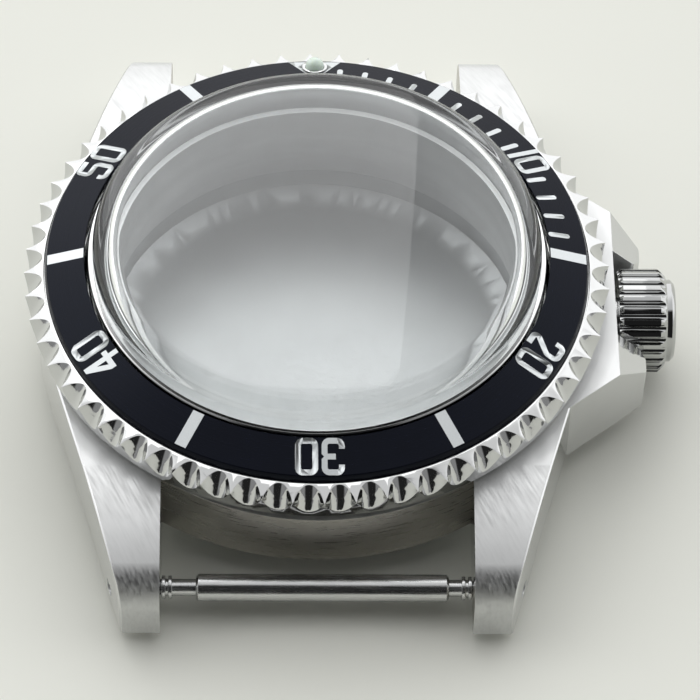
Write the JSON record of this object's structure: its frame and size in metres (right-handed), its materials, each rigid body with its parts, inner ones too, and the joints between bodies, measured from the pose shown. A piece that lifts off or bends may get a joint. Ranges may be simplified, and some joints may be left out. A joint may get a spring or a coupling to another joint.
{
  "type": "watch case",
  "caption": "Empty diver's watch case: steel body with lugs and crown guards, turning scalloped bezel with minute marks, domed crystal, screwed back, crown and spring bars.",
  "frame": {"origin": "on the case axis, at the outer face of the case back, which the case stands on", "axes": "+Z out through the crystal, +X out along the crown at 3 o'clock, +Y towards 12 o'clock"},
  "size_m": [0.0431, 0.0464, 0.0145],
  "materials": {
    "case_steel": "satin brushed top, polished bevels and flanks",
    "back_steel": "satin turned",
    "polished_steel": "polished",
    "bar_steel": "drawn and slightly worn",
    "spring_steel": "plain spring temper",
    "insert_black": "anodised near-black, satin",
    "mark_silver": "bare silver",
    "pearl_white": "pale luminous dome",
    "clear_crystal": "clear and polished",
    "black_rubber": "matt"
  },
  "bodies": {
    "case": {"mid_case": "case_steel", "crystal": "clear_crystal", "crystal_retaining_ring": "polished_steel", "bezel_spring_washer": "spring_steel", "crown_tube": "polished_steel", "crown_tube_gaskets": "black_rubber"},
    "turning_bezel": {"bezel": "polished_steel", "bezel_insert": "insert_black", "numerals": "mark_silver", "five_minute_bars": "mark_silver", "minute_ticks": "mark_silver", "zero_triangle": "mark_silver", "pearl": "pearl_white", "pearl_cup": "polished_steel"},
    "back_seal": {"case_back_gasket": "black_rubber"},
    "back": {"case_back": "back_steel"},
    "crown_seal": {"crown_gasket": "black_rubber"},
    "crown": {"crown_cap": "polished_steel", "crown_core": "polished_steel", "crown_washer": "spring_steel", "crown_spring": "spring_steel"},
    "post": {"crown_post": "polished_steel"},
    "bar_6": {"spring_bar_tube_6": "bar_steel", "spring_bar_spring_6": "spring_steel"},
    "bar_6_left_pin": {"spring_bar_left_pin_6": "bar_steel"},
    "bar_6_right_pin": {"spring_bar_right_pin_6": "bar_steel"},
    "bar_12": {"spring_bar_tube_12": "bar_steel", "spring_bar_spring_12": "spring_steel"},
    "bar_12_left_pin": {"spring_bar_left_pin_12": "bar_steel"},
    "bar_12_right_pin": {"spring_bar_right_pin_12": "bar_steel"}
  },
  "joints": [
    {"name": "bezel_turn", "type": "hinge", "parent": "case", "child": "turning_bezel", "pos_m": [0, 0, 0.009], "axis": [0, 0, 1], "continuous": true},
    {"name": "back_lift", "type": "slide", "parent": "case", "child": "back_seal", "axis": [0, 0, -1], "range_m": [0, 0.0015]},
    {"name": "back_turn", "type": "hinge", "parent": "back_seal", "child": "back", "pos_m": [0, 0, 0.002], "axis": [0, 0, -1], "range_deg": [0, 1080]},
    {"name": "crown_lift", "type": "slide", "parent": "case", "child": "crown_seal", "axis": [1, 0, 0], "range_m": [0, 0.0013]},
    {"name": "crown_turn", "type": "hinge", "parent": "crown_seal", "child": "crown", "pos_m": [0.021, 0, 0.0042], "axis": [1, 0, 0], "range_deg": [0, 1337.2]},
    {"name": "post_spring", "type": "slide", "parent": "crown", "child": "post", "axis": [1, 0, 0], "range_m": [0, 0.00055], "stiffness_N_per_m": 400, "deforming": ["crown_spring"]},
    {"name": "bar_6_spin", "type": "hinge", "parent": "case", "child": "bar_6", "pos_m": [0, -0.0206, 0.0022], "axis": [1, 0, 0], "continuous": true},
    {"name": "bar_6_left_press", "type": "slide", "parent": "bar_6", "child": "bar_6_left_pin", "axis": [1, 0, 0], "range_m": [0, 0.00075], "stiffness_N_per_m": 300, "deforming": ["spring_bar_spring_6"]},
    {"name": "bar_6_right_press", "type": "slide", "parent": "bar_6", "child": "bar_6_right_pin", "axis": [-1, 0, 0], "range_m": [0, 0.00075], "stiffness_N_per_m": 300, "deforming": ["spring_bar_spring_6"]},
    {"name": "bar_12_spin", "type": "hinge", "parent": "case", "child": "bar_12", "pos_m": [0, 0.0206, 0.0022], "axis": [1, 0, 0], "continuous": true},
    {"name": "bar_12_left_press", "type": "slide", "parent": "bar_12", "child": "bar_12_left_pin", "axis": [1, 0, 0], "range_m": [0, 0.00075], "stiffness_N_per_m": 300, "deforming": ["spring_bar_spring_12"]},
    {"name": "bar_12_right_press", "type": "slide", "parent": "bar_12", "child": "bar_12_right_pin", "axis": [-1, 0, 0], "range_m": [0, 0.00075], "stiffness_N_per_m": 300, "deforming": ["spring_bar_spring_12"]}
  ],
  "couplings": [
    {"joint": "back_lift", "follows": "back_turn", "m_per_rad": 0.000079577},
    {"joint": "crown_turn", "follows": "crown_lift", "rad_per_m": 17952}
  ]
}
